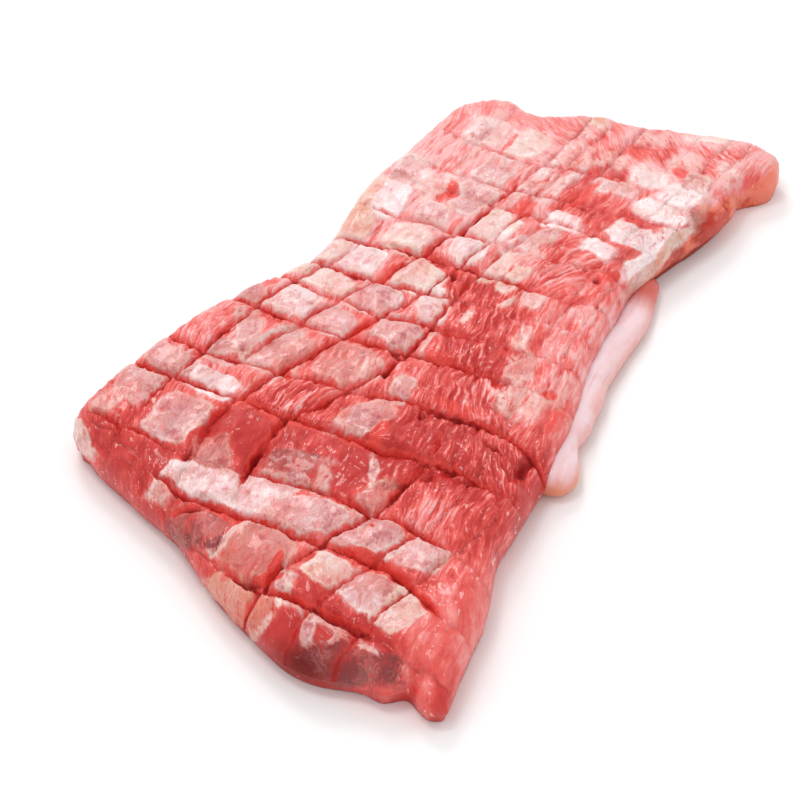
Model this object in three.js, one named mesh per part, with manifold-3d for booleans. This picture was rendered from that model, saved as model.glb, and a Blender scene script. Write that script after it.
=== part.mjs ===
// Raw beef suadero: one flat slab of belly muscle, still under its silverskin, scored in a lattice,
// with the thin rim of the same cut folded under it along one side.
// Millimetres, +Z up. +X runs along the slab, from its broad notched end to its narrow end, and +Y
// points to its straighter long side. The origin is under the middle, on the surface it lies on.

import * as THREE from 'three';
import { mergeVertices } from 'three/addons/utils/BufferGeometryUtils.js';
import Module from 'manifold-3d';

const wasm = await Module();
wasm.setup();

// Thickness and how the edges round over
const THICKNESS = 21;
const SHOULDER = 0.42;
const EDGE_ROLL = 9;
const BROAD_END_ROLL = 16;
const BROAD_END_FROM = -90;
const BROAD_END_TO = -125;
const SIDE_PROFILE = [[6.5, -0.1], [2.6, 0.04], [0.6, 0.16], [0, SHOULDER]];

// Where the narrow half is undercut along its right side, under a lip of fat
const LIP_FROM = 104;
const LIP_TO = 196;
const LIP_UNDERCUT = 3;
const LIP_FADE = 14;
const LIP_SIDE = -40;

// Relief between and along the cuts
const CELL_SWELL = 1.9;
const CELL_SQUARENESS = 4;
const SHALLOW_FROM = [90, 150];
const SHALLOW_LOSS = 0.5;
const CUT_LIP = 0.12;
const CELL_STEPS = [0, CUT_LIP, 0.38, 0.62, 1 - CUT_LIP];
const END_STEPS = [0, 0.12, 0.3, 0.5, 0.7, 0.88];

// Strands of bare muscle that show where the silverskin is cut away
const BUNDLE_PITCH = 15;
const BUNDLE_RISE = 1.1;
const GRAIN_ANGLE = THREE.MathUtils.degToRad(27);
const BARE_LEFT_LIMIT = -10;
const BARE_SIDE_FADE = 14;
const BARE_FROM = [-75, -50];
const BARE_TO = [70, 100];

// Swells and hollows of the top: centre, how far they reach, and how high they stand
const SWELLS = [
  { x: -84, y: 62, reach: 34, rise: 1.5 },
  { x: -65, y: 30, reach: 13, rise: 2.2 },
  { x: -28, y: -46, reach: 24, rise: 3.2 },
  { x: -60, y: -60, reach: 16, rise: 1.6 },
  { x: -26, y: -76, reach: 9, rise: -4 },
  { x: 42, y: 66, reach: 26, rise: -2.5 },
  { x: 60, y: -10, reach: 30, rise: 1.2 },
  { x: 200, y: -30, reach: 38, rise: -4.5 },
  { x: -138, y: -100, reach: 16, rise: -3.5 },
];

// The outline, side by side, where the slab is widest: [along, across]
const LEFT_SIDE = [[-102, 86], [-96, 93], [-82, 96], [-50, 94], [-24, 91], [0, 84], [20, 77.5], [38, 71.5],
  [56, 72], [72, 75], [97, 79], [120, 77], [148, 77], [165, 74], [176, 64]];
const RIGHT_SIDE = [[-136, -109], [-121, -105], [-106, -101], [-90, -97], [-78, -92], [-66, -87], [-47, -84],
  [-26, -81], [0, -76.5], [20, -71.5], [40, -64.5], [60, -59], [80, -55.5], [100, -52], [120, -55],
  [136, -58], [148, -61], [168, -63], [184, -61], [199, -69], [211, -65]];

// The two ends: [across, along]
const BROAD_END = [[-109, -136], [-104, -140], [-98, -139], [-91, -136], [-86, -142], [-76, -143],
  [-60, -149], [-48, -150], [-32, -146], [-4, -136], [10, -129], [25, -121], [52, -113], [72, -107],
  [86, -102]];
const NARROW_END = [[-65, 211], [-56, 214.5], [-42, 214.5], [-25, 209.5], [-10, 203], [4, 196], [18, 193],
  [28, 185], [41, 177], [52, 180], [58, 179], [64, 176]];

// Cuts that run across the slab, each by its place along the slab and its depth at five stations. A cut
// ends where its depth falls to nothing or below.
const ACROSS_STATIONS = [-92, -60, -10, 30, 70];
const ACROSS_CUTS = [
  { along: [-131, -129.5, -132.5, -116.5, -102.5], depth: [-6, 5, 2.5, 0, 0] },
  { along: [-109.5, -100.5, -104.5, -109.5, -98], depth: [0, 7, 4, 4.5, -12] },
  { along: [-82, -77.5, -81.5, -89.5, -93.5], depth: [-3, 3, 3, 0, 4.5] },
  { along: [-41, -44.5, -49, -53.5, -58], depth: [0.8, 3, 6, 3, 3.5] },
  { along: [-22, -16.5, -20.5, -31.5, -38.5], depth: [1.5, 5, 3, 2.5, 3] },
  { along: [16, 14.5, 7, -1, -4.5], depth: [0, 0, 4.5, 2.5, 3] },
  { along: [36, 34.5, 25.5, 18.5, 19.5], depth: [0, 0, 2, 3, 3] },
  { along: [55, 53.5, 45.5, 38, 34.5], depth: [0, 0, 0.5, 3, 3] },
  { along: [76, 73.5, 63.5, 60, 53], depth: [0, 0, 3.5, 4, 2] },
  { along: [97, 94.5, 86.5, 80.5, 75.5], depth: [0, 0, 1, 2, 0.8] },
  { along: [119, 116.5, 109.5, 104.5, 100.5], depth: [0, 0, 1.4, 0.8, 0.3] },
  { along: [138, 135.5, 127, 117.5, 115.5], depth: [0.6, 0.6, 1.6, 1.4, 0.5] },
  { along: [168, 165.5, 150.5, 139.5, 140.5], depth: [0.4, 0.6, 0.8, 1.4, 0.6] },
];

// Cuts that run along it, each by its place across the slab and its depth at five stations
const ALONG_STATIONS = [-120, -60, 0, 60, 130];
const ALONG_CUTS = [
  { across: [-67, -79, -68, -51, -50], depth: [2.5, 0, 0, 0, 0] },
  { across: [-47, -63, -54, -40, -40], depth: [3, 1, 0, 0, 0] },
  { across: [-25, -42, -33, -22, -28], depth: [4, 3.5, 0, 0, 0.4] },
  { across: [3, 18, 0, 1, -5], depth: [-2, 4.5, 3.5, 1.2, 1] },
  { across: [29, 41.5, 26, 10, 8], depth: [-2, 3.5, 3, 2, 0.8] },
  { across: [44, 56, 46, 28, 18], depth: [0, 0, 2.4, 4, 1.4] },
  { across: [66, 70, 67, 55, 50], depth: [0, 3, 2.4, 0.6, 0.6] },
];

// Lobes of muscle that stand up with a steep edge: centre, half their length and width, turn, rise
const LOBES = [
  { x: -30, y: -41, long: 13.5, wide: 22, turn: -8, rise: 1.8 },
  { x: -58, y: -31, long: 16, wide: 8, turn: -16, rise: 2 },
  { x: -65, y: 30, long: 14, wide: 11, turn: 30, rise: 1.4 },
];
const LOBE_STEEPNESS = 3;

// The folded rim: its middle line, half its width there, and its height
const RIM_PATH = [[112, -51], [94, -57], [74, -59], [54, -60], [34, -64], [14, -69], [-8, -77.5]];
const RIM_HALF_WIDTH = 10.5;
const RIM_HEIGHT = 13;
const RIM_THIN_END = 0.62;
const RIM_THIN_FROM = 0.2;
const RIM_UNDERSIDE = 0.1;
const RIM_NECK_AT = 15;
const RIM_NECK_REACH = 9;
const RIM_NECK_PINCH = 0.3;
const RIM_AROUND = 18;
const RIM_ALONG = 26;
const RIM_CAP_STEPS = 5;

const MEAT = new THREE.MeshStandardMaterial({ color: 0xd9696a, roughness: 0.38, metalness: 0 });

// Steps that close in on the place where a crosswise line meets a lengthwise one
const CROSSING_ROUNDS = 24;
const CROSSING_DAMPING = 0.6;

const { clamp, lerp, smoothstep } = THREE.MathUtils;

// A smooth line through knots, given as the places along it and the values there.
function smoothLine(places, values) {
  const line = new THREE.CubicInterpolant(places, values, 1);
  return (place) => line.evaluate(place)[0];
}

function sideLine(points) {
  return smoothLine(points.map((point) => point[0]), points.map((point) => point[1]));
}

// A run of lines over the slab: the two outline sides, the cuts between them, and the plain lines
// that divide each strip between neighbours. Depth is that of the cut that a line follows, or none.
function latticeLines(curves) {
  const lines = [];
  for (let strip = 0; strip < curves.length - 1; strip++) {
    const [first, second] = [curves[strip], curves[strip + 1]];
    const outermost = strip === 0 || strip === curves.length - 2;
    for (const share of outermost ? END_STEPS : CELL_STEPS) {
      lines.push({
        at: (place) => lerp(first.at(place), second.at(place), share),
        depth: share === 0 ? first.depth : () => 0,
        share,
      });
    }
  }
  const last = curves[curves.length - 1];
  lines.push({ at: last.at, depth: last.depth, share: 0 });
  return lines;
}

function cutCurves(cuts, stations, key) {
  return cuts.map((cut) => ({ at: smoothLine(stations, cut[key]), depth: smoothLine(stations, cut.depth) }));
}

function edgeCurve(points) {
  return { at: sideLine(points), depth: () => 0 };
}

const crossLines = latticeLines([
  edgeCurve(BROAD_END), ...cutCurves(ACROSS_CUTS, ACROSS_STATIONS, 'along'), edgeCurve(NARROW_END),
]);
const longLines = latticeLines([
  edgeCurve(RIGHT_SIDE), ...cutCurves(ALONG_CUTS, ALONG_STATIONS, 'across'), edgeCurve(LEFT_SIDE),
]);
const LAST_CROSS = crossLines.length - 1;
const LAST_LONG = longLines.length - 1;

// Where a crosswise line meets a lengthwise one, closed in on from the middle of the slab.
function crossing(crossLine, longLine) {
  const point = new THREE.Vector3();
  for (let round = 0; round < CROSSING_ROUNDS; round++) {
    point.x += (crossLine.at(point.y) - point.x) * CROSSING_DAMPING;
    point.y += (longLine.at(point.x) - point.y) * CROSSING_DAMPING;
  }
  return point;
}

const plan = crossLines.map((crossLine) => longLines.map((longLine) => crossing(crossLine, longLine)));

// The edge of the slab, as short straight pieces once round.
function edgePieces() {
  const ring = [];
  for (let i = 0; i <= LAST_CROSS; i++) ring.push(plan[i][0]);
  for (let j = 1; j <= LAST_LONG; j++) ring.push(plan[LAST_CROSS][j]);
  for (let i = LAST_CROSS - 1; i >= 0; i--) ring.push(plan[i][LAST_LONG]);
  for (let j = LAST_LONG - 1; j > 0; j--) ring.push(plan[0][j]);
  return ring.map((start, index) => new THREE.Line3(start, ring[(index + 1) % ring.length]));
}

const edge = edgePieces();
const nearest = new THREE.Vector3();

function distanceToEdge(point) {
  return Math.min(...edge.map((piece) => piece.closestPointToPoint(point, true, nearest).distanceTo(point)));
}

function thicknessAt(point) {
  return SWELLS.reduce((height, swell) => {
    const away = Math.hypot(point.x - swell.x, point.y - swell.y) / swell.reach;
    return height + swell.rise * Math.exp(-away * away);
  }, THICKNESS);
}

// Strands of muscle lie bare between the lattice and the right side.
function bundleRelief(point) {
  const bare = smoothstep(BARE_LEFT_LIMIT - point.y, 0, BARE_SIDE_FADE) * smoothstep(point.x, ...BARE_FROM)
    * (1 - smoothstep(point.x, ...BARE_TO));
  const acrossGrain = point.y * Math.cos(GRAIN_ANGLE) - point.x * Math.sin(GRAIN_ANGLE);
  return bare * BUNDLE_RISE * Math.cos(acrossGrain * 2 * Math.PI / BUNDLE_PITCH);
}

function lobeRise(point) {
  return LOBES.reduce((height, lobe) => {
    const turn = THREE.MathUtils.degToRad(lobe.turn);
    const along = (point.x - lobe.x) * Math.cos(turn) + (point.y - lobe.y) * Math.sin(turn);
    const across = (point.y - lobe.y) * Math.cos(turn) - (point.x - lobe.x) * Math.sin(turn);
    const out = Math.hypot(along / lobe.long, across / lobe.wide);
    return Math.max(height, lobe.rise * Math.sqrt(Math.max(1 - Math.pow(out, LOBE_STEEPNESS), 0)));
  }, 0);
}

function cellRelief(cross, long, point) {
  const along = 1 - Math.pow(Math.abs(2 * cross.share - 1), CELL_SQUARENESS);
  const across = 1 - Math.pow(Math.abs(2 * long.share - 1), CELL_SQUARENESS);
  const shallow = 1 - smoothstep(point.x, ...SHALLOW_FROM) * SHALLOW_LOSS;
  return CELL_SWELL * along * across * shallow - Math.max(cross.depth(point.y), long.depth(point.x), 0);
}

function rollWidth(point) {
  const broad = smoothstep(-point.x, -BROAD_END_FROM, -BROAD_END_TO);
  return lerp(EDGE_ROLL, BROAD_END_ROLL, broad);
}

// The top of the slab over one crossing: rounded over at the edge, scored and swollen inside it.
function topHeight(i, j) {
  const point = plan[i][j];
  const full = thicknessAt(point);
  const inward = Math.min(distanceToEdge(point) / rollWidth(point), 1);
  const rounded = Math.sqrt(1 - (1 - inward) * (1 - inward));
  const relief = cellRelief(crossLines[i], longLines[j], point) + bundleRelief(point) + lobeRise(point);
  return full * lerp(SHOULDER, 1, rounded) + relief * rounded;
}

function undercut(point) {
  const along = smoothstep(point.x, LIP_FROM, LIP_FROM + LIP_FADE)
    * (1 - smoothstep(point.x, LIP_TO - LIP_FADE, LIP_TO));
  return point.y < LIP_SIDE ? LIP_UNDERCUT * along : 0;
}

// A point of the side below one place on the edge; level 0 is lowest, and the last is the shoulder.
function sidePoint(i, j, level) {
  const point = plan[i][j];
  const inner = plan[clamp(i, 1, LAST_CROSS - 1)][clamp(j, 1, LAST_LONG - 1)];
  const [inset, height] = SIDE_PROFILE[level];
  const lowness = 1 - level / (SIDE_PROFILE.length - 1);
  const moved = new THREE.Vector3().subVectors(inner, point);
  moved.setLength(inset + undercut(point) * lowness).add(point);
  moved.z = thicknessAt(point) * height;
  return moved;
}

// The slab is a gridded box, every point of which is moved to its place.
function slabGeometry() {
  const levels = SIDE_PROFILE.length - 1;
  const geometry = new THREE.BoxGeometry(LAST_CROSS, LAST_LONG, levels, LAST_CROSS, LAST_LONG, levels);
  const position = geometry.attributes.position;
  for (let index = 0; index < position.count; index++) {
    const i = Math.round(position.getX(index) + LAST_CROSS / 2);
    const j = Math.round(position.getY(index) + LAST_LONG / 2);
    const level = Math.round(position.getZ(index) + levels / 2);
    const onSide = i === 0 || j === 0 || i === LAST_CROSS || j === LAST_LONG;
    const place = onSide ? sidePoint(i, j, level) : plan[i][j].clone();
    if (!onSide) place.z = level === levels ? topHeight(i, j) : THICKNESS * SIDE_PROFILE[0][1];
    position.setXYZ(index, place.x, place.y, place.z);
  }
  return geometry;
}

// The folded rim is a round-ended bar laid along its middle line, flattened and thinner at one end.
function rimGeometry() {
  const path = new THREE.CatmullRomCurve3(RIM_PATH.map(([x, y]) => new THREE.Vector3(x, y, 0)));
  const length = path.getLength();
  const geometry = new THREE.CapsuleGeometry(1, length, RIM_CAP_STEPS, RIM_AROUND, RIM_ALONG);
  const position = geometry.attributes.position;
  for (let index = 0; index < position.count; index++) {
    const reach = position.getY(index) + length / 2;
    const share = clamp(reach / length, 0, 1);
    const beyond = reach - share * length;
    const middle = path.getPointAt(1 - share);
    const ahead = path.getTangentAt(1 - share).negate();
    const thick = lerp(1, RIM_THIN_END, smoothstep(share, RIM_THIN_FROM, 1));
    const fromNeck = (reach - RIM_NECK_AT) / RIM_NECK_REACH;
    const half = RIM_HALF_WIDTH * thick * (1 - RIM_NECK_PINCH * Math.exp(-fromNeck * fromNeck));
    const sideways = new THREE.Vector3(-ahead.y, ahead.x, 0);
    middle.addScaledVector(ahead, beyond * half);
    middle.addScaledVector(sideways, position.getX(index) * half);
    const up = (1 - position.getZ(index)) / 2;
    middle.z = RIM_HEIGHT * thick * (up * (1 + RIM_UNDERSIDE) - RIM_UNDERSIDE);
    position.setXYZ(index, middle.x, middle.y, middle.z);
  }
  return geometry;
}

function solidFrom(geometry) {
  geometry.deleteAttribute('normal');
  geometry.deleteAttribute('uv');
  const merged = mergeVertices(geometry);
  const mesh = new wasm.Mesh({
    numProp: 3,
    vertProperties: Float32Array.from(merged.attributes.position.array),
    triVerts: Uint32Array.from(merged.index.array),
  });
  return new wasm.Manifold(mesh);
}

function geometryFrom(solid) {
  const mesh = solid.getMesh();
  const geometry = new THREE.BufferGeometry();
  geometry.setAttribute('position', new THREE.BufferAttribute(mesh.vertProperties, 3));
  geometry.setIndex(new THREE.BufferAttribute(mesh.triVerts, 1));
  geometry.computeVertexNormals();
  return geometry;
}

// All that lies above the flat surface under the meat.
function aboveSurface() {
  const size = 1000;
  return new THREE.BoxGeometry(size, size, size).translate(0, 0, size / 2);
}

const body = solidFrom(slabGeometry()).add(solidFrom(rimGeometry())).intersect(solidFrom(aboveSurface()));
const geometry = geometryFrom(body);
geometry.computeBoundingBox();
const middle = geometry.boundingBox.getCenter(new THREE.Vector3());
geometry.translate(-middle.x, -middle.y, 0);

const suadero = new THREE.Mesh(geometry, MEAT);
suadero.name = 'suadero';

const part = new THREE.Group();
part.add(suadero);

export default part;
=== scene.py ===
# Raw beef suadero: a scored slab of belly muscle under its silverskin, on a plain pale floor.
# Shapes are worked out in millimetres in the slab's own plan, and put in metres when a mesh is filled.

import math

import bmesh
import bpy
import numpy as np
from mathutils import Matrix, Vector
from mathutils.kdtree import KDTree


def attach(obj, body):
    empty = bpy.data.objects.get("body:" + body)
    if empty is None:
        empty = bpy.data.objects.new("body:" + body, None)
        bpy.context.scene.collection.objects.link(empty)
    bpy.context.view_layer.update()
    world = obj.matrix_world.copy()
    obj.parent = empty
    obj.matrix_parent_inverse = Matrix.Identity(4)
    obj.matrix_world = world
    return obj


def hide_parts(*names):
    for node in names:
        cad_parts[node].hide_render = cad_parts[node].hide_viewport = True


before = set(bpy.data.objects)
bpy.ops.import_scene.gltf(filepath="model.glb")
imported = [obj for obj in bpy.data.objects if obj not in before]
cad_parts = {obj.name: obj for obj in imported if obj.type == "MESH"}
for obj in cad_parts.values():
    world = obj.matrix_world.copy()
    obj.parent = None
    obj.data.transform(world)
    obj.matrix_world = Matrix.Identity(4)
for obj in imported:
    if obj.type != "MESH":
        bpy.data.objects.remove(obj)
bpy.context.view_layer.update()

MM = 0.001

# The plan point that lies over the part's origin
MIDDLE_X, MIDDLE_Y = 32.5, -6.4

# Thickness, and how the edges round over
THICKNESS = 21.0
SHOULDER = 0.42
EDGE_ROLL = 9.0
BROAD_END_ROLL = 16.0
BROAD_END_FROM, BROAD_END_TO = -90.0, -125.0
FOOT_INSET = 3.7
FOOT_SHARPNESS = 3.2
EDGE_SLACK = 0.08
LIP_FROM, LIP_TO, LIP_FADE, LIP_SIDE, LIP_UNDERCUT = 104.0, 196.0, 14.0, -40.0, 3.0

# Swells and hollows of the top: along, across, reach, rise
SWELLS = (
    (-84, 62, 34, 1.5), (-65, 30, 13, 2.2), (-28, -46, 24, 3.2), (-60, -60, 16, 1.6), (-26, -76, 9, -4),
    (42, 66, 26, -2.5), (60, -10, 30, 1.2), (200, -30, 38, -4.5), (-138, -100, 16, -3.5),
)

# The outline where the slab is widest: the long sides as (along, across), the ends as (across, along)
LEFT_SIDE = (
    (-102, 86), (-96, 93), (-82, 96), (-50, 94), (-24, 91), (0, 84), (20, 77.5), (38, 71.5),
    (56, 72), (72, 75), (97, 79), (120, 77), (148, 77), (165, 74), (176, 64),
)
RIGHT_SIDE = (
    (-136, -109), (-121, -105), (-106, -101), (-90, -97), (-78, -92), (-66, -87), (-47, -84),
    (-26, -81), (0, -76.5), (20, -71.5), (40, -64.5), (60, -59), (80, -55.5), (100, -52), (120, -55),
    (136, -58), (148, -61), (168, -63), (184, -61), (199, -69), (211, -65),
)
BROAD_END = (
    (-109, -136), (-104, -140), (-98, -139), (-91, -136), (-86, -142), (-76, -143), (-60, -149),
    (-48, -150), (-32, -146), (-4, -136), (10, -129), (25, -121), (52, -113), (72, -107), (86, -102),
)
NARROW_END = (
    (-65, 211), (-56, 214.5), (-42, 214.5), (-25, 209.5), (-10, 203), (4, 196), (18, 193),
    (28, 185), (41, 177), (52, 180), (58, 179), (64, 176),
)

# The cuts, each by its place and its depth at the same stations
ACROSS_STATIONS = (-92, -60, -10, 30, 70)
ACROSS_CUTS = (
    ((-131, -129.5, -132.5, -116.5, -102.5), (-6, 5, 2.5, 0, 0)),
    ((-109.5, -100.5, -104.5, -109.5, -98), (0, 7, 4, 4.5, -12)),
    ((-82, -77.5, -81.5, -89.5, -93.5), (-3, 3, 3, 0, 4.5)),
    ((-41, -44.5, -49, -53.5, -58), (0.8, 3, 6, 3, 3.5)),
    ((-22, -16.5, -20.5, -31.5, -38.5), (1.5, 5, 3, 2.5, 3)),
    ((16, 14.5, 7, -1, -4.5), (0, 0, 4.5, 2.5, 3)),
    ((36, 34.5, 25.5, 18.5, 19.5), (0, 0, 2, 3, 3)),
    ((55, 53.5, 45.5, 38, 34.5), (0, 0, 0.5, 3, 3)),
    ((76, 73.5, 63.5, 60, 53), (0, 0, 3.5, 4, 2)),
    ((97, 94.5, 86.5, 80.5, 75.5), (0, 0, 1, 2, 0.8)),
    ((119, 116.5, 109.5, 104.5, 100.5), (0, 0, 1.4, 0.8, 0.3)),
    ((138, 135.5, 127, 117.5, 115.5), (0.6, 0.6, 1.6, 1.4, 0.5)),
    ((168, 165.5, 150.5, 139.5, 140.5), (0.4, 0.6, 0.8, 1.4, 0.6)),
)
ALONG_STATIONS = (-120, -60, 0, 60, 130)
ALONG_CUTS = (
    ((-67, -79, -68, -51, -50), (2.5, 0, 0, 0, 0)),
    ((-47, -63, -54, -40, -40), (3, 1, 0, 0, 0)),
    ((-25, -42, -33, -22, -28), (4, 3.5, 0, 0, 0.4)),
    ((3, 18, 0, 1, -5), (-2, 4.5, 3.5, 1.2, 1)),
    ((29, 41.5, 26, 10, 8), (-2, 3.5, 3, 2, 0.8)),
    ((44, 56, 46, 28, 18), (0, 0, 2.4, 4, 1.4)),
    ((66, 70, 67, 55, 50), (0, 3, 2.4, 0.6, 0.6)),
)

# Places below are read where they show on a plane 18 mm up, so they lean over with the height
READ_HEIGHT = 18.0
LEAN_X, LEAN_Y = 0.9, 0.585

# Skins over the muscle: how milky, how warm, how much muscle shows through, how ragged and how crisp its edge
SKINS = {
    "silver": (0.42, 0.2, 0.1, 1.0, 0.75),
    "white": (0.9, 0.3, 0.0, 1.0, 0.7),
    "cream": (0.7, 0.7, 0.04, 0.9, 0.8),
    "grey": (0.16, 0.35, 0.35, 1.0, 0.6),
    "brown": (-0.22, 0.12, 0.3, 1.2, 0.4),
    "bruise": (-0.35, 0.05, 0.1, 2.2, 0.22),
    "tan": (0.2, 0.85, 0.35, 1.2, 0.5),
    "veil": (0.6, 0.4, 0.4, 2.4, 0.35),
    "fat": (0.35, 1.0, 0.0, 0.8, 0.7),
    # lip: the cream fat of the far lip, made extra milky as painted light where its rounded edge turns away
    # from the lamps.
    "lip": (1.15, 0.5, 0.0, 0.9, 0.5),
}

# How much wider a patch of skin spreads than its named size
PATCH_MARGIN = 1.3

# Patches of skin: kind, place along and across, half its length and width, and how far it is turned
PATCHES = (
    ("silver", -109, -55, 8.8, 9.3, 0), ("cream", -110.5, -71.5, 9.8, 7.6, -8),
    ("cream", -108.5, -38.5, 6.4, 7.4, 0), ("silver", -84, -42, 9.5, 13, 8),
    ("silver", -83, -64, 6.6, 8.5, 15), ("silver", -89, -16.5, 14, 7, -67),
    ("grey", -115, -10, 12.5, 12, 0), ("cream", -114.5, 0, 10.5, 3.2, -5), ("tan", -140, -19, 15, 11, 75),
    ("cream", -139, -33, 11.5, 1.4, 10), ("silver", -121, -26, 8, 1.4, 25),
    ("grey", -69, -32, 10, 4.6, -18), ("silver", -62.5, -28, 6, 0.7, 30), ("white", -93, 19, 19.5, 8.2, 96),
    ("veil", -108, 38, 7, 4, 5), ("white", -102, 39.5, 8.5, 4.2, 5), ("grey", -81.5, 34.5, 8, 6.3, 40),
    ("brown", -118, 16, 12, 11, 25), ("silver", -72.5, 57.5, 12.5, 9.5, 0),
    ("silver", -66, 82.5, 8.5, 7.5, 0), ("veil", -81, 86, 6, 4, 0), ("cream", -103, 83.5, 9, 2.4, 55),
    ("brown", -69.5, 4.5, 6, 9, 15), ("silver", -80, 2, 5.5, 8.5, 15), ("veil", -71, -10.5, 6, 1.6, 20),
    ("bruise", -145, -70, 12, 10, 65), ("silver", -139, -50, 4, 1.4, 35),
    ("silver", -136.5, -60.5, 3.6, 1, 10), ("silver", -130.5, -46, 2.4, 1.6, 0),
    ("veil", -133.5, -71, 7, 0.8, 82), ("bruise", -139, -84, 8, 5, 40), ("veil", -131.5, -55, 9, 0.8, 86),
    ("white", -48.5, 57, 6, 9.5, 0), ("silver", -46.5, 80, 6, 10.5, 0),
    ("silver", -17, 49.5, 11.5, 5.5, -5), ("cream", -27, 52, 3.5, 6, -20), ("grey", -20, 39, 10, 4.5, 0),
    ("silver", -14, 65, 14, 4.2, 36), ("silver", -31, 66, 6, 6, 10), ("white", 10, 60, 8.2, 10, 0),
    ("silver", 8.5, 39, 7.5, 8.5, -10), ("grey", -10, 20.5, 10, 9, 0), ("veil", -13, 9, 9, 4, -20),
    ("silver", 18, 13, 7.5, 9.5, 0), ("cream", 29.5, 55, 5.2, 10, 0), ("silver", 29.5, 32, 8, 9.5, 10),
    ("cream", 48, 66, 9, 5, 0), ("white", 48.5, 50, 7.5, 8, 0), ("cream", 52, 24, 9.5, 10, 10),
    ("white", 39, 9, 8.5, 5.2, 25), ("silver", -31, -5, 10.5, 6.5, -20), ("veil", -38, 2, 6, 3, 0),
    ("silver", -11, -8, 5.5, 3.2, 10), ("silver", 5, 76, 4.5, 3.5, 0), ("cream", 28, 72, 5, 3, -50),
    ("veil", 19, -2, 6, 3, 20), ("veil", 10, -47, 9, 3.6, 10), ("veil", 8, -57, 8, 4, 0),
    ("veil", 27, -41, 9, 4, 15), ("veil", 43, -32, 6, 3, 20), ("cream", 40, -5.5, 1.2, 0.6, 0),
    ("cream", 58.5, -16, 1.6, 0.6, 0), ("veil", 65, -24, 4.5, 5, 0), ("veil", 20, -62, 5, 2, 10),
    ("white", 77, 16, 7.5, 6.5, 0), ("cream", 98, 14.5, 9.5, 7, -12), ("cream", 70, 42, 7.5, 8.3, 0),
    ("white", 90, 63.5, 11, 6.5, 5), ("silver", 110, 67, 10, 6, 0), ("veil", 108, 56, 6, 4, 0),
    ("fat", 68, 66, 9, 5.5, 20), ("fat", 86, 74, 12, 4.6, 5), ("silver", 88, 41, 7, 7, 0),
    ("silver", 104, 33, 7, 6, 0), ("silver", 112, 35, 6, 6, 20), ("silver", 112, 28, 4, 2.4, 0),
    ("veil", 107, 47.5, 12, 1.6, 0), ("silver", 130, 34.5, 10.5, 7.5, 0), ("silver", 153, 52, 9.5, 8, 20),
    ("cream", 154, 31.5, 8.5, 6, 0), ("silver", 137, 17.5, 22, 1.6, -2), ("veil", 133, 9, 13, 2.8, 0),
    ("silver", 143, 4.5, 12, 1.4, -3), ("veil", 160, 16, 9, 3, 0), ("veil", 158, 7, 8, 4, 0),
    ("cream", 75, 0, 9, 4, 0), ("cream", 72, -10, 6, 2.6, 0), ("silver", 97, -3.5, 11, 3.4, -35),
    ("veil", 88, -6, 6, 3, -20), ("white", 115.5, -8, 4.5, 7, 0), ("white", 124, -38, 5.2, 9.2, 0),
    ("white", 108, -30, 3.5, 6.5, -20), ("white", 144, -38.5, 5.4, 8.6, 0),
    ("silver", 148.5, -15, 4.5, 8.5, 12), ("lip", 159, -41, 7.5, 7.5, 0), ("white", 164, -25, 5, 8, 15),
    ("silver", 171, -43, 7, 5, 20), ("veil", 180, -33, 7, 6, 20), ("veil", 165, -5, 6, 5, 0),
    ("veil", 191, -12, 4, 8, 30), ("lip", 126, -49.5, 20, 3, 1), ("fat", 121, -55, 22, 2.4, 1),
    ("lip", 142, -49.5, 4.5, 4.2, 10), ("veil", 183, -52, 8, 4, 20), ("cream", 203, -32, 3, 8, 25),
    ("fat", 186.5, 15, 3.5, 3.5, 0),
)

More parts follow.
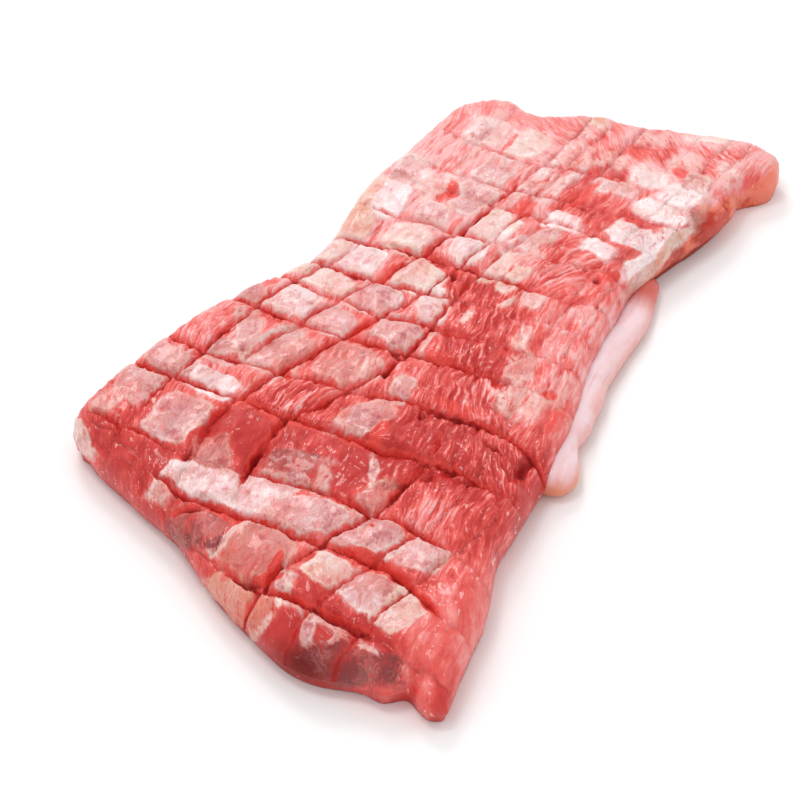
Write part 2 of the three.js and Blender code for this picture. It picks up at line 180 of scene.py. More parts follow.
# The muscle by place: along, across, how its grain runs in degrees, how pale it is, how streaked
MUSCLE = (
    (-138, -102, 12, 0.32, 0.05), (-118, -96, 10, 0.55, 0.1), (-98, -90, 28, 0.56, 0.1),
    (-75, -82, 22, 0.46, 0.4), (-121, -32, 14, 0.12, 0.2), (-82, -24, 20, 0.3, 0.2),
    (-62, -56, 10, 0.95, 0.7), (-62, -72, 8, 0.32, 0.5), (-62, -41, 14, 0.25, 0.6),
    (-30, -40, 30, -0.1, 1.3), (-45, -60, 30, 0.12, 0.9), (-38, -50, 34, -0.1, 1.2),
    (-46, -76, 15, 0.15, 0.4), (-28, -61, 38, 0.2, 1.3), (-60, -14, 14, -0.1, 0.2),
    (-66, 30, 12, -0.05, 0.1), (-105, 64, 36, 0.1, 0.15), (-112, 48, 36, 0.14, 0.4),
    (-55, 12, 20, 0.08, 0.2), (-40, 25, -3, 0.5, 1.2), (-36, 43, 10, 0.62, 0.4), (-32, 62, 10, 0.62, 0.4),
    (-57, 26, 10, 0.25, 0.1), (-36, 10, 8, 0.46, 0.5), (-22, 80, 5, 0.68, 0.5), (3, -42, 22, 0.5, 1.4),
    (5, -67, 15, 0.62, 0.15), (-10, -59, 15, 0.4, 0.6), (22, -18, 30, 0.26, 1.4), (20, -9, 30, 0.1, 0.4),
    (42, -12, 25, 0.36, 0.8), (50, -52, 20, 0.78, 0.5), (30, -58, 22, 0.76, 0.5), (28, -32, 25, 0.2, 0.3),
    (66, -46, 12, 0.95, 0.4), (84, -50, 10, 0.62, 0.3), (100, -48, 5, 0.35, 0.2), (75, -33, -5, 0.46, 0.3),
    (60, -8, 5, 0.22, 0.8), (86, -22, -18, 0.84, 0.9), (101, -33, -35, 0.56, 0.5),
    (95, -14, -12, 0.56, 0.5), (112, -20, 0, 0.58, 0.4), (137, -5, 4, 0.46, 0.2), (152, -2, 0, 0.3, 0.2),
    (134, -33, 60, 0.28, 0.3), (113, 13, 20, 0.6, 0.15), (70, 56, 10, 0.96, 0.7), (105, 43, 12, 0.38, 0.3),
    (130, 9, 0, 0.62, 0.9), (130, 60, 5, 0.98, 0.5), (160, 28, 60, 0.95, 0.4), (176, -13, 70, 0.42, 0.3),
    (181, -20, 60, 0.4, 0.3), (174, -34, 60, 0.54, 0.3), (196, -45, 62, 0.82, 0.7),
    (176, 60, 80, 0.96, 0.1), (172, 24, 70, 0.64, 0.3), (150, -59, 0, 0.0, 0.1), (120, -58, 0, 0.3, 0.1),
    (180, -66, 0, 0.55, 0.1), (40, 40, 10, 0.72, 0.4), (0, 20, 10, 0.46, 0.4), (12, -4, 20, 0.62, 0.3),
    (-5, 57, 10, 0.5, 0.5), (20, 46, 10, 0.72, 0.4), (60, 33, 10, 0.66, 0.4), (90, 31, 8, 1.05, 0.3),
    (100, 56, 0, 1.1, 0.5), (-45, 68, 10, 0.6, 0.6), (-78, 74, 20, 0.22, 0.5), (-20, 30, 10, 0.4, 0.4),
    (30, 20, 15, 0.66, 0.4), (-104, -45, 15, 0.3, 0.3), (-92, -32, 15, 0.64, 0.3),
    (-150, -50, 30, -0.15, 0.2), (-128, -42, 20, 0.05, 0.2), (-132, -66, 80, -0.1, 0.2),
    (-141, -56, 80, 0.05, 0.2), (-50, -22, 14, -0.15, 0.2), (-95, 0, 20, 0.3, 0.2), (85, 5, 5, 0.75, 0.4),
    (150, -26, 20, 0.65, 0.4), (170, -22, 40, 1.0, 0.4), (185, -30, 50, 0.88, 0.4),
    (160, -45, 20, 1.1, 0.3), (187, 2, 60, 0.82, 0.4), (195, -18, 60, 0.7, 0.4), (165, 5, 40, 0.62, 0.5),
    (140, 20, 0, 0.8, 0.6), (140, 45, 5, 0.95, 0.5), (115, -38, 0, 0.5, 0.3), (122, -20, 0, 0.32, 0.4),
    (205, -52, 60, 1.05, 0.3), (168, 44, 70, 0.95, 0.1), (155, 66, 10, 0.82, 0.3), (180, 17, 60, 0.82, 0.3),
    (120, 45, 0, 0.82, 0.5),
)

# Smooth faces of freshly cut, bright muscle: place, half its length and width, how far it is turned
CUT_FACES = (
    (-6.5, -34, 3.4, 14, 8), (6, -69, 9, 4.5, 8), (19, -58, 2.4, 5, 25), (18, -5, 8, 2.4, 12),
    (14, 26, 11, 3.2, -6), (50, 36, 9, 3, -14), (-105, 12, 3, 12, 8), (-113, 25, 7, 2.4, -40),
    (-96, -50, 4.4, 18, -2), (-101, -77, 3, 11, -30), (-49.5, 20, 2.6, 14, 4), (14.5, -10, 3.2, 7, 15),
    (-74, -50, 2, 9, -14), (-80, -39, 1.8, 1.6, 0), (-46, -8, 3.4, 8, 8), (-37, -14, 8, 3, 10),
    (-48, 42, 7, 2.6, -8), (136, -5, 14, 3.6, -8), (115, 11, 7, 6, 0), (134, -33, 3, 4.5, 15),
    (173, -34, 3.4, 4, 0), (176, -12, 6, 5, 20), (94, -43, 6, 3.6, -30), (105, 43.5, 10, 2.4, 2),
    (152, 41, 9, 1.3, 3), (78, 27.5, 18, 1.1, -9), (62.5, 16, 4, 10, 0), (89, 30, 8, 1.4, -8),
    (-124, -22, 3, 7, 30), (-117, -20, 9, 1.8, 10), (-28, 36, 6, 2.4, 35), (32, -31, 5, 2.4, 30),
)

# Lobes that stand up with a steep edge: place, half its length and width, how far it is turned, and its rise
LOBES = (
    (-30, -41, 13.5, 22, -8, 2.2), (-58, -31, 16, 8, -16, 2.0), (-47, -34, 4.5, 5, 0, 1.2),
    (-46, -48, 5, 5.5, 0, 1.3), (-45, -61, 5, 6, 15, 1.2), (-65, 30, 14, 11, 30, 1.4),
    (100, -42, 8, 5, -15, 1.2), (-36, -74, 9, 3, 8, 1.2), (-105, 62, 12, 18, -20, 0.8),
    (20, -31, 9, 5, 28, 0.8), (42, -14, 14, 6, 25, 0.7), (0, -20, 11, 6, 18, 0.8),
    (112, -51, 14, 4, -4, 0.9), (138, -51, 10, 5, 8, 1.1), (158, -50, 8, 6, 20, 0.9),
    (178, -55, 9, 6, 15, 0.9),
)

# Pits, slits and creases in the face: place, half its length and width, how far it is turned, and its depth
PITS = (
    (-22, -71, 14, 5.4, 2, 3.4), (-11.5, -33, 3.6, 15, 6, 2.8), (-75, 18.5, 12, 1.8, 6, 5),
    (-6, 3, 4.5, 2, 12, 4), (6, 6, 2.4, 5, -15, 3.5), (-18, -22, 5, 2.6, 20, 3),
    (60, 11.5, 3.6, 2.6, 35, 4), (63, 20, 2.2, 7, 0, 2.5), (-46, -43, 4.5, 1.5, 0, 4),
    (-40.5, -49, 3, 4.5, 15, 2.4), (-41, -59, 2.0, 9, 20, 3), (89, -40, 3.2, 2.4, 35, 3),
    (97, 24, 6.5, 1.2, -8, 2.2), (85, -54, 3.4, 1.1, 0, 2.2), (77, -54, 2.4, 0.8, 12, 1.4),
    (124, -1, 1.8, 4, 0, 2), (129, -9, 1.4, 5, 0, 2.5), (182, -9.5, 2.6, 2.4, 0, 2),
    (182, -3, 1.8, 2.4, 0, 1.5), (-129, -17, 2.2, 9, 22, 3.4), (-115, -22, 9, 1.4, 12, 2.6),
    (35, -29, 4, 1, 30, 2), (15, -27, 6, 2, 28, 1.6), (16, -41, 1.6, 3.4, 30, 1.6),
    (-112, 23, 2.2, 9, 48, 3.6), (-37, 86, 1, 3, 0, 1.5), (74, -30, 2.6, 3.4, 0, 1.2),
    (145, 2, 8, 1.6, 5, 1.6), (0, 70, 2.6, 2, 0, 2.5), (-22, -26, 12, 2, -8, 1.6),
    (142, 34, 1.2, 6, 10, 1.8), (119, 34, 1.1, 5, 8, 1.6), (157, -13, 1.4, 6, 10, 1.6),
    (-120, 3.5, 12, 1.0, 0, 2.2), (-85, 43, 7, 1.4, 12, 3), (-19, -56, 1.6, 8, -20, 3),
    (151, -58, 3.4, 6, 10, 2.4), (-128, -57, 2.3, 18, 1, 5), (131, -60, 2, 4, 10, 2.4),
    (166, -62, 2, 4.5, 15, 2.6), (100, -13, 11, 0.9, -38, 1.2), (-56, -37, 7, 1.6, -28, 2.6),
)

# The folded rim: its middle line, half its width there, and its height
RIM_PATH = ((-8, -77.5), (14, -69), (34, -64), (54, -60), (74, -59), (94, -57), (112, -51))
RIM_HALF_WIDTH = 10.5
RIM_HEIGHT = 13.0
RIM_THIN_END = 0.62
RIM_THIN_FROM = 0.2
RIM_UNDERSIDE = 0.1
RIM_NECK_AT, RIM_NECK_REACH, RIM_NECK_PINCH = 15.0, 9.0, 0.3

# How wide a cut is at its mouth, and how much more for each millimetre of depth, on its four sides
GROOVE_SLOPES = ((1.1, 0.62), (0.6, 0.14), (1.1, 0.5), (0.6, 0.14))

# How far the silverskin draws back from a cut, and how much more for each millimetre of its depth
FILM_EDGES = ((0.6, 0.4), (0.3, 0.1), (0.6, 0.35), (0.3, 0.1))

# The shaded wall at the broad end: its place, half its length and width, how far it is turned
END_WALL = (-153, -59, 13, 15, 0)

# The rust-red wall under the far lip: how far out it starts, how much farther at the tip, and the notch in it
RUST_FROM, RUST_AT_TIP, TIP_FROM, TIP_TO = 57.0, 7.0, 165.0, 188.0
NOTCH_AT, NOTCH_REACH, NOTCH_DEPTH = 152.0, 5.0, 6.0

# How finely the pieces are divided
STEPS_ALONG, STEPS_ACROSS, STEPS_DOWN = 420, 204, 9
RIM_STEPS_LONG, RIM_STEPS_ROUND = 150, 64

# The photograph's view, in the slab's plan
VIEW_ELEVATION = math.radians(43.0)
VIEW_TURN = math.radians(57.0)
VIEW_DISTANCE = 1080.0
LENS_MM = 118.8


def smooth_line(places, values):
    """A smooth line through knots, as a function of the place."""
    places, values = np.array(places, float), np.array(values, float)
    slopes = np.diff(values) / np.diff(places)
    lean = np.concatenate([slopes[:1], (slopes[1:] + slopes[:-1]) / 2, slopes[-1:]])

    def line(place):
        place = np.clip(place, places[0], places[-1])
        knot = np.clip(np.searchsorted(places, place, side="right") - 1, 0, len(places) - 2)
        step = places[knot + 1] - places[knot]
        t = (place - places[knot]) / step
        rise = t * t * (3 - 2 * t)
        bend = step * t * (1 - t) * ((1 - t) * lean[knot] - t * lean[knot + 1])
        return values[knot] * (1 - rise) + values[knot + 1] * rise + bend

    return line


def side_line(points):
    return smooth_line(*zip(*points))


def flat_line(place):
    return np.zeros_like(place)


left_side, right_side = side_line(LEFT_SIDE), side_line(RIGHT_SIDE)
broad_end, narrow_end = side_line(BROAD_END), side_line(NARROW_END)
across_lines = [broad_end, *(smooth_line(ACROSS_STATIONS, at) for at, _ in ACROSS_CUTS), narrow_end]
across_depths = [flat_line, *(smooth_line(ACROSS_STATIONS, deep) for _, deep in ACROSS_CUTS), flat_line]
along_lines = [right_side, *(smooth_line(ALONG_STATIONS, at) for at, _ in ALONG_CUTS), left_side]
along_depths = [flat_line, *(smooth_line(ALONG_STATIONS, deep) for _, deep in ALONG_CUTS), flat_line]


def mix(low, high, share):
    return low + (high - low) * share


def ease(value, low, high):
    """0 below low, 1 above high, and a smooth rise between them."""
    t = np.clip((value - low) / (high - low), 0, 1)
    return t * t * (3 - 2 * t)


def draw(column, row, seed):
    """One fixed draw from 0 to 1 for each pair of whole numbers."""
    mixed = (column * 374761393 + row * 668265263 + seed * 1442695041) & 0xFFFFFFFF
    mixed = ((mixed ^ (mixed >> 13)) * 1274126177) & 0xFFFFFFFF
    return ((mixed ^ (mixed >> 16)) & 0xFFFF) / 65535.0


def ripple(x, y, seed):
    """Smooth random hills about 1 unit apart, from about -1 to 1."""
    column, row = np.floor(x).astype(np.int64), np.floor(y).astype(np.int64)
    u, v = x - column, y - row
    rise_u, rise_v = (t * t * t * (t * (t * 6 - 15) + 10) for t in (u, v))

    def slope(right, up):
        turn = draw(column + right, row + up, seed) * 2 * math.pi
        return np.cos(turn) * (u - right) + np.sin(turn) * (v - up)

    return mix(mix(slope(0, 0), slope(1, 0), rise_u), mix(slope(0, 1), slope(1, 1), rise_u), rise_v) * 1.5


def rubble(x, y, seed, layers=4):
    """Ripples on ripples, each layer half as wide and half as high."""
    return sum(ripple(x * 2**layer, y * 2**layer, seed + layer) / 2**layer for layer in range(layers)) / 1.6


def ridges(x, y, seed):
    """Thin crests that wander, from 0 to 1."""
    return 1 - np.abs(ripple(x, y, seed)) * 1.6


def crossing(u, v):
    """The plan point at shares u along and v across the slab, closed in on from its middle."""
    x, y = np.zeros_like(u), np.zeros_like(v)
    for _ in range(24):
        x = x + 0.6 * (mix(broad_end(y), narrow_end(y), u) - x)
        y = y + 0.6 * (mix(right_side(x), left_side(x), v) - y)
    return x, y


def lattice_place(x, y):
    """The square that each point is in, its shares across the square, and its gaps to the four cuts."""
    across = np.stack([line(y) for line in across_lines])
    column = np.clip((across <= x).sum(0) - 1, 0, len(across_lines) - 2)
    along = np.stack([line(x) for line in along_lines]) + (draw(column, 0, 5) - 0.5) * 3.0
    row = np.clip((along <= y).sum(0) - 1, 0, len(along_lines) - 2)
    each = np.arange(len(x))
    near_x, far_x = x - across[column, each], across[column + 1, each] - x
    near_y, far_y = y - along[row, each], along[row + 1, each] - y
    return {
        "column": column, "row": row, "gaps": (near_x, far_x, near_y, far_y),
        "share_x": np.clip(near_x / (near_x + far_x), 0, 1),
        "share_y": np.clip(near_y / (near_y + far_y), 0, 1),
    }


def cut_depths(place, x, y):
    """How deep each of the four cuts round a point is beside it, broken up along its run."""
    across = np.stack([depth(y) for depth in across_depths])
    along = np.stack([depth(x) for depth in along_depths])
    each = np.arange(len(x))
    column, row = place["column"], place["row"]
    uneven = 0.85 + 0.55 * ripple(x / 13, y / 13, 31)
    found = (across[column, each], across[column + 1, each], along[row, each], along[row + 1, each])
    return [np.clip(depth * uneven, 0, None) for depth in found]


def grooves(place, depths):
    """Cuts as narrow valleys, steep on one side and sloping on the other."""
    slopes = (np.clip(1 - np.abs(gap) / (least + growth * depth), 0, 1)
              for gap, depth, (least, growth) in zip(place["gaps"], depths, GROOVE_SLOPES))
    return np.maximum.reduce([depth * slope**1.2 for depth, slope in zip(depths, slopes)])


def nearer_cut(before, after, deep_before, deep_after):
    """How far each point lies beyond the nearer of two cuts, negative ahead of it, and how deep that cut is."""
    beyond = before < after
    gap = np.where(beyond, before, -after)
    deep = np.where(beyond, deep_before, deep_after)
    return gap, deep * np.clip(1.6 - np.abs(gap) / 4, 0, 1)


def lobes(x, y, seed):
    """Rounded lumps about 1 unit wide, from 0 in the creases between them to about 1."""
    column, row = np.floor(x).astype(np.int64), np.floor(y).astype(np.int64)
    nearest, second = np.full_like(x, 9.0), np.full_like(x, 9.0)
    for right in (-1, 0, 1):
        for up in (-1, 0, 1):
            at_x = column + right + draw(column + right, row + up, seed)
            at_y = row + up + draw(column + right, row + up, seed + 1)
            away = np.hypot(x - at_x, y - at_y)
            second = np.minimum(second, np.maximum(nearest, away))
            nearest = np.minimum(nearest, away)
    return np.sqrt(np.clip((second - nearest) * 1.4, 0, 1))


def turned(x, y, degrees):
    """Places along and across a line that is turned from the slab's own."""
    turn = np.radians(degrees)
    return x * np.cos(turn) + y * np.sin(turn), y * np.cos(turn) - x * np.sin(turn)


def within(x, y, feature, power=3.0):
    """How far out a point is in a rounded feature: 0 at its middle and 1 on its edge."""
    at, over, long, wide, turn = feature
    along, across = turned(x - at, y - over, turn)
    return (np.abs(along / long) ** power + np.abs(across / wide) ** power) ** (1 / power)


def muscle_at(x, y):
    """Grain, paleness and streakiness, taken from the places nearest to each point."""
    total, blend = 0.0, np.zeros((3, len(x)))
    for at, over, *values in MUSCLE:
        nearness = 1 / ((x - at) ** 2 + (y - over) ** 2 + 25) ** 2
        total = total + nearness
        blend += np.array(values)[:, None] * nearness
    return blend / total


def muscle_strands(x, y, place, seen_x, seen_y):
    """Strands of muscle that run straight or bend a little between one cut and the next."""
    cell = place["column"] * len(along_lines) + place["row"]
    count = np.maximum(np.bincount(cell), 1)
    middle_x, middle_y = np.bincount(cell, seen_x) / count, np.bincount(cell, seen_y) / count
    numbers = np.arange(len(count))
    degrees = muscle_at(middle_x, middle_y)[0] + (draw(numbers, 0, 15) - 0.5) * 12
    along, over = turned(x - middle_x[cell], y - middle_y[cell], degrees[cell])
    bend = (draw(numbers, 0, 17) - 0.5) * 0.022
    over = over + bend[cell] * along**2 + draw(numbers, 0, 19)[cell] * 90
    along = along + draw(numbers, 0, 21)[cell] * 90
    over = over + 2.2 * ripple(along / 22, over / 14, 71) + 0.8 * ripple(along / 8, over / 8, 72)
    bundle = ridges(along / 30, over / 8.5, 73)
    strand = ridges(along / 17, over / 2.9, 74)
    lump_along = (along + 3 * ripple(along / 9, over / 7, 75)) / 13
    lump_over = (over + 2 * ripple(along / 8, over / 6, 76)) / 7
    lump = lobes(lump_along, lump_over, 77)
    return bundle, strand, lump, along, over


def edge_distance(x, y, ring_x, ring_y):
    """How far each plan point lies from the outline."""
    tree = KDTree(len(ring_x))
    for index, (ring_at, ring_over) in enumerate(zip(ring_x, ring_y)):
        tree.insert((ring_at, ring_over, 0), index)
    tree.balance()
    return np.array([tree.find((at, over, 0))[2] for at, over in zip(x.tolist(), y.tolist())])


def thickness_at(x, y):
    height = np.full_like(x, THICKNESS)
    for at, over, reach, rise in SWELLS:
        height += rise * np.exp(-((x - at) ** 2 + (y - over) ** 2) / reach**2)
    return height


def slab_topology():
    """A gridded sheet with walls drawn down from its edge and a floor, in shares along, across and down."""
    mesh = bmesh.new()
    bmesh.ops.create_grid(mesh, x_segments=STEPS_ALONG, y_segments=STEPS_ACROSS, size=0.5)
    bmesh.ops.translate(mesh, vec=(0.5, 0.5, 0), verts=mesh.verts)
    edge = [e for e in mesh.edges if e.is_boundary]
    for _ in range(STEPS_DOWN):
        drawn = bmesh.ops.extrude_edge_only(mesh, edges=edge)["geom"]
        edge = [e for e in drawn if isinstance(e, bmesh.types.BMEdge) and e.is_boundary]
        bmesh.ops.translate(mesh, vec=(0, 0, -1), verts=list({v for e in edge for v in e.verts}))
    bmesh.ops.edgeloop_fill(mesh, edges=edge)
    bmesh.ops.recalc_face_normals(mesh, faces=mesh.faces)
    return mesh


def read_places(mesh):
    flat = np.zeros(len(mesh.vertices) * 3, np.float32)
    mesh.vertices.foreach_get("co", flat)
    return flat.reshape(-1, 3).astype(float)


def write_places(mesh, x, y, z):
    """Puts a mesh's points in place, from plan millimetres to metres about the part's origin."""
    places = np.stack([x - MIDDLE_X, y - MIDDLE_Y, z], -1) * MM
    mesh.vertices.foreach_set("co", places.astype(np.float32).ravel())
    mesh.polygons.foreach_set("use_smooth", np.ones(len(mesh.polygons), bool))
    mesh.update()


def write_measure(mesh, name, values):
    layer = mesh.attributes.new(name, "FLOAT", "POINT")
    layer.data.foreach_set("value", values.astype(np.float32))


def write_grain(mesh, along, over, up):
    layer = mesh.attributes.new("grain", "FLOAT_VECTOR", "POINT")
    layer.data.foreach_set("vector", np.stack([along, over, up], -1).astype(np.float32).ravel())


def skins_over(x, y, edge):
    """How far inside a patch of skin each point is, in millimetres, and what that skin is like."""
    cover = np.full_like(x, -6.0)
    milky, warm, clear, crisp = np.zeros_like(x), np.zeros_like(x), np.zeros_like(x), np.full_like(x, 0.6)
    ragged = rubble(x / 6.5, y / 6.5, 53) * (1 + 0.9 * ease(x, 80, 140))
    x, y = x + 1.7 * ripple(x / 11, y / 11, 57), y + 1.7 * ripple(x / 11, y / 11, 58)
    for number, (kind, *feature) in enumerate(PATCHES):
        milkiness, warmth, clearness, roughness, crispness = SKINS[kind]
        inside = 1 - within(x, y, feature, 2.6 if kind == "veil" else 4.0)
        inside = inside * min(feature[2:4]) + PATCH_MARGIN + roughness * ragged
        inside = np.minimum(inside, edge)
        chosen = inside > cover
        cover = np.where(chosen, inside, cover)
        milky = np.where(chosen, milkiness + 0.16 * (draw(np.array(number), 1, 3) - 0.5), milky)
        fade_turn = 360 * draw(np.array(number), 2, 3)
        fading = 0.5 * np.tanh(turned(x - feature[0], y - feature[1], fade_turn)[0] / 8)
        warm, clear = np.where(chosen, warmth, warm), np.where(chosen, clearness + 0.45 * fading, clear)
        crisp = np.where(chosen & (inside > -2.5), crispness, crisp)
    return cover, milky, warm, clear, crisp * (1 - 0.6 * ease(x, 85, 150))


def slab_fields(u, v, level, ring):
    """Everything that varies over the slab, at shares u along and v across it and steps down its wall."""
    x, y = crossing(u, v)
    inset = edge_distance(x, y, x[ring], y[ring])
    roll = mix(EDGE_ROLL, BROAD_END_ROLL, ease(-x, -BROAD_END_FROM, -BROAD_END_TO))
    inward = np.clip(inset / roll, 0, 1)
    rounded = np.sqrt(np.clip(1 - (1 - inward) ** 2, 0, 1))
    full = thickness_at(x, y)
    smooth_top = full * mix(SHOULDER, 1, rounded)
    lean = smooth_top * (1 - level / STEPS_DOWN) + 1.2 * rounded - READ_HEIGHT
    seen_x, seen_y = x + LEAN_X * lean, y + LEAN_Y * lean

    sway_x = x + 1.3 * ripple(x / 15, y / 15, 11) + 0.7 * ripple(x / 4.5, y / 4.5, 13)
    sway_y = y + 1.3 * ripple(x / 15, y / 15, 17) + 0.7 * ripple(x / 4.5, y / 4.5, 19)
    place = lattice_place(sway_x, sway_y)
    depths = cut_depths(place, sway_x, sway_y)
    groove = grooves(place, depths)
    gap_x, gap_x_after, gap_y, gap_y_after = place["gaps"]
    across_gap, across_deep = nearer_cut(gap_x, gap_x_after, depths[0], depths[1])
    along_gap, along_deep = nearer_cut(gap_y, gap_y_after, depths[2], depths[3])
    crease_shade, face = np.zeros_like(x), np.zeros_like(x)
    near_x, near_y = seen_x + sway_x - x, seen_y + sway_y - y
    for *feature, depth in PITS:
        sunk = np.clip(1 - within(near_x, near_y, feature, 2.0), 0, 1)
        groove = np.maximum(groove, depth * np.minimum(sunk * 1.5, 1) ** 1.5)
        # Painted shade in each pit, darker where the pit is deeper.
        crease_shade = np.maximum(crease_shade, np.minimum(depth / 3, 1) * sunk**0.8)
    raised = np.zeros_like(x)
    for *feature, rise in LOBES:
        out = within(near_x, near_y, feature, 2.5)
        raised = np.maximum(raised, rise * np.sqrt(np.clip(1 - out**3, 0, 1)))
        # A ring of painted shade round the foot of each lobe.
        crease_shade = np.maximum(crease_shade, 0.4 * min(rise / 2, 1) * np.clip(1 - np.abs(out - 1.06) / 0.1, 0, 1))
    for feature in CUT_FACES:
        face = np.maximum(face, 1.2 - within(near_x, near_y, feature, 2.5))

    edge = np.minimum.reduce([
        np.abs(gap) - least - growth * depth + 9 * (1 - ease(depth, 0.15, 0.9))
        for gap, depth, (least, growth) in zip(place["gaps"], depths, FILM_EDGES)
    ])
    edge = np.minimum(edge, 3 - 9 * face)
    cover, milky, warm, clear, crisp = skins_over(seen_x, seen_y, edge + 1.0 * ripple(x / 3, y / 3, 55))
    covered = ease(cover, -0.5, 0.8)
    _, pale, streaked = muscle_at(seen_x, seen_y)
    bundle, strand, lump, along, over = muscle_strands(x, y, place, seen_x, seen_y)
    # Paler on raised bundles, strands and lumps and darker in the creases between them: partly the grain's own
    # pale streaks, partly painted highlight on the crests and painted shade in the creases.
    pale = pale + 0.2 * (bundle - 0.62) + streaked * 0.56 * (strand - 0.6) + 0.14 * rubble(x / 9, y / 9, 25, 3)
    pale = pale + 0.14 * (lump - 0.75)

    window = (1 - (2 * place["share_x"] - 1) ** 4) * (1 - (2 * place["share_y"] - 1) ** 4)
    column, row = place["column"], place["row"]
    lift = draw(column, row, 3) * 1.4 - 0.4
    lean_x = (draw(column, row, 7) - 0.5) * 2.2 * (2 * place["share_x"] - 1)
    lean_y = (draw(column, row, 9) - 0.5) * 2.2 * (2 * place["share_y"] - 1)
    shallow = 1 - 0.5 * ease(x, 90, 150)
    bare = 1 - covered * (1 - 0.5 * clear)
    relief = window * shallow * (1.6 + lift + lean_x + lean_y)
    relief += 0.9 * rubble(x / 11, y / 11, 23, 3)
    relief += bare * (0.4 + 0.8 * streaked) * ((bundle - 0.6) * 0.8 + (strand - 0.6) * 1.15)
    relief += bare * shallow * 1.1 * (lump - 0.75)
    relief += 0.3 * covered + raised
    relief -= groove
    top = smooth_top + relief * (0.2 + 0.8 * rounded)
    return {
        "x": x, "y": y, "top": top, "crease_shade": crease_shade, "face": face, "cover": cover, "milky": milky, "crisp": crisp,
        "warm": warm, "clear": clear, "pale": pale, "streaked": streaked, "along": along, "over": over,
        "across_gap": across_gap, "across_deep": across_deep, "along_gap": along_gap, "along_deep": along_deep,
        "seen_x": seen_x, "seen_y": seen_y,
    }


def wall_places(u, v, level, field):
    """Below the shoulder the wall drops, tucks under a little and meets the surface it lies on."""
    x, y = field["x"].copy(), field["y"].copy()
    inner_x, inner_y = crossing(mix(u, 0.5, 0.02), mix(v, 0.5, 0.03))
    toward_x, toward_y = inner_x - x, inner_y - y
    length = np.maximum(np.hypot(toward_x, toward_y), 1e-6)
    down = level / STEPS_DOWN
    lip = ease(x, LIP_FROM, LIP_FROM + LIP_FADE) * (1 - ease(x, LIP_TO - LIP_FADE, LIP_TO)) * (y < LIP_SIDE)
    tuck = FOOT_INSET * down**FOOT_SHARPNESS + LIP_UNDERCUT * lip * down
    bulge = (1.5 * ripple(x / 10, y / 10, 101) - 1.5) * np.sin(down * math.pi)
    bulge += (0.3 * ripple(x / 3, level / 3 + y / 3, 103) - 0.25) * (level > 0)
    push = np.maximum(np.where(level > 0, tuck - bulge * (level < STEPS_DOWN), 0), EDGE_SLACK)
    x, y = x + toward_x / length * push, y + toward_y / length * push
    return x, y, field["top"] * (1 - down)


def fill_slab_measures(mesh, field, level, z):
    """Keeps what the finish needs at each point of the mesh."""
    x, y, seen_x, seen_y = field["x"], field["y"], field["seen_x"], field["seen_y"]
    down = level / STEPS_DOWN
    # Painted shade: dark over the broad end wall, down the wall under the far lip, and towards the foot of
    # every wall.
    end_wall_shade = np.clip(1.3 - within(seen_x, seen_y, END_WALL, 2.0), 0, 1)
    right_side = (y < LIP_SIDE) * ease(x, 90, 104)
    under_lip_shade = ease(down + 0.3 * ripple(x / 9, y / 9, 117), -0.2, 0.5) * right_side
    under_lip_shade = under_lip_shade * (1 - 0.85 * ease(x, 146, 180))
    notch = NOTCH_DEPTH * np.exp(-((x - NOTCH_AT) / NOTCH_REACH) ** 2)
    rust_side = RUST_FROM + RUST_AT_TIP * ease(x, TIP_FROM, TIP_TO) + 1.6 * ripple(x / 8, y / 8, 118) - notch
    rusty = ease(-seen_y, rust_side, rust_side + 3.5) * right_side
    # Painted shade deepening towards the foot of each wall, where it meets the floor.
    foot = ease(down, 0.5, 1.0) * 0.25
    # Milkier towards the far end: a painted sheen of the light from behind, added to the skin's own milkiness
    # and random tone.
    milky = field["milky"] + 0.3 * rubble(x / 7, y / 7, 111) + mix(-0.1, 0.1, ease(x, 25, 110))
    write_measure(mesh, "cover", np.clip(field["cover"], -4, 4))
    write_measure(mesh, "milky", np.clip(milky, -0.6, 1.6))
    write_measure(mesh, "warm", np.clip(field["warm"] + 0.25 * rubble(x / 10, y / 10, 115), 0, 1))
    write_measure(mesh, "clear", field["clear"])
    write_measure(mesh, "crisp", field["crisp"])
    for name in ("across_gap", "along_gap"):
        write_measure(mesh, name, np.clip(field[name], -6, 6))
    for name in ("across_deep", "along_deep", "crease_shade", "face"):
        write_measure(mesh, name, np.maximum(field[name], 0) * (level == 0))
    write_measure(mesh, "pale", np.clip(field["pale"], -0.3, 1.3))
    write_measure(mesh, "streaked", field["streaked"])
    write_measure(mesh, "painted_shade", np.clip(np.maximum.reduce([end_wall_shade, under_lip_shade, foot]), 0, 1))
    write_measure(mesh, "rusty", rusty)
    write_grain(mesh, field["along"], field["over"], z)


def make_slab():
    shape = slab_topology()
    mesh = bpy.data.meshes.new("slab")
    shape.to_mesh(mesh)
    shape.free()
    u, v, level = read_places(mesh).T
    u, v, level = np.clip(u, 0, 1), np.clip(v, 0, 1), np.round(-level)
    on_edge = (np.minimum(u, v) < 1e-4) | (np.maximum(u, v) > 1 - 1e-4)
    field = slab_fields(u, v, level, on_edge & (level == 0))
    x, y, z = wall_places(u, v, level, field)
    write_places(mesh, x, y, z)
    fill_slab_measures(mesh, field, level, z)
    slab = bpy.data.objects.new("slab", mesh)
    bpy.context.scene.collection.objects.link(slab)
    return slab


def rim_route():
    """Plan points and headings along the folded rim, evenly spaced."""
    knots = np.array(RIM_PATH, float)
    run = np.concatenate([[0], np.cumsum(np.hypot(*np.diff(knots, axis=0).T))])
    route_x, route_y = smooth_line(run, knots[:, 0]), smooth_line(run, knots[:, 1])
    return route_x, route_y, run[-1]


